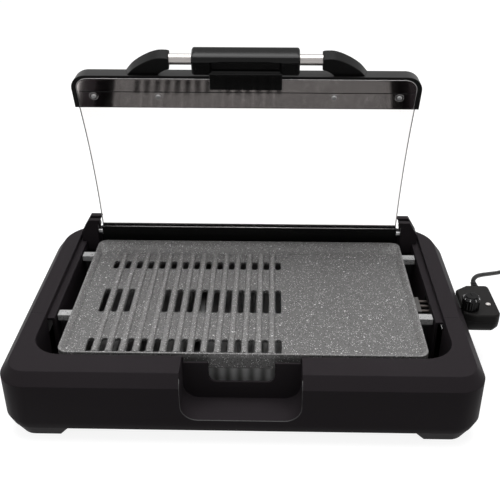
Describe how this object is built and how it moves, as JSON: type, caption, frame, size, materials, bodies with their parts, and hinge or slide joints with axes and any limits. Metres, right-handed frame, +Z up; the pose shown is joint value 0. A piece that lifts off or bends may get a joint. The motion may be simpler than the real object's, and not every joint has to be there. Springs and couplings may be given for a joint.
{
  "type": "electric indoor grill with lid",
  "caption": "Low rectangular countertop grill with a ribbed and slotted plate, hinged glass lid with front handle, and plug-in temperature control with cord.",
  "frame": {"origin": "on the standing plane, at the centre of the base housing's plan", "axes": "+Z up, +X to the right of someone facing the front, towards the temperature control, -Y to the front, where the recess and the lid handle are"},
  "size_m": [0.803, 0.4405, 0.3975],
  "materials": {
    "housing_black": "fine matte",
    "housing_charcoal": "fine matte",
    "inner_black": "matte",
    "pad_rubber": "matte",
    "screw_steel": "satin",
    "tray_metal": "satin",
    "strap_steel": "satin",
    "element_sheath": "heat-dulled",
    "ceramic": "unglazed",
    "contact_steel": "polished",
    "plate_coating": "speckled non-stick coating",
    "rod_steel": "polished",
    "lid_pane": "clear tempered",
    "lid_black": "gloss",
    "strip_black": "satin",
    "handle_black": "gloss",
    "tube_steel": "brushed",
    "control_black": "satin",
    "contact_brass": "plain",
    "lamp_red": "translucent",
    "dial_black": "satin",
    "cord_black": "satin",
    "blade_brass": "plain"
  },
  "bodies": {
    "base": {"front_cover": "housing_black", "rear_frame": "housing_charcoal", "floor_pan": "inner_black", "foot_pads": "pad_rubber", "housing_screws": "screw_steel", "plate_rests": "inner_black", "hinge_bracket_left": "housing_black", "hinge_bracket_right": "housing_black", "drip_tray": "tray_metal", "element_straps": "strap_steel", "heating_element": "element_sheath", "terminal_bracket": "strap_steel", "terminal_block": "ceramic", "terminal_pins": "contact_steel", "socket_bezel": "inner_black", "grill_plate": "plate_coating"},
    "lid": {"hinge_rod": "rod_steel", "lid_glass": "lid_pane", "lid_hinge_bar": "lid_black", "lid_clamp_strip": "strip_black", "lid_front_trim": "lid_black", "lid_screws": "screw_steel", "handle_post_left": "handle_black", "handle_post_right": "handle_black", "handle_tube": "tube_steel", "handle_grip": "handle_black"},
    "control": {"control_top": "control_black", "control_bottom": "control_black", "control_nose": "inner_black", "control_contacts": "contact_brass", "sensor_probe": "contact_steel", "control_lamp": "lamp_red", "strain_relief": "cord_black", "power_cord": "cord_black", "cord_coil": "cord_black", "cord_tie": "cord_black", "plug_lead": "cord_black", "plug_body": "cord_black", "plug_blades": "blade_brass"},
    "dial": {"control_dial": "dial_black", "dial_cap": "strip_black"}
  },
  "joints": [
    {"name": "lid_hinge", "type": "hinge", "parent": "base", "child": "lid", "pos_m": [0, 0.15, 0.1], "axis": [1, 0, 0], "range_deg": [0, 69.7]},
    {"name": "control_unplug", "type": "slide", "parent": "base", "child": "control", "axis": [1, 0, 0], "range_m": [0, 0.1]},
    {"name": "dial_turn", "type": "hinge", "parent": "control", "child": "dial", "pos_m": [0.2884, -0.01875, 0.084], "axis": [0, 0, 1], "range_deg": [-270, 0]}
  ]
}
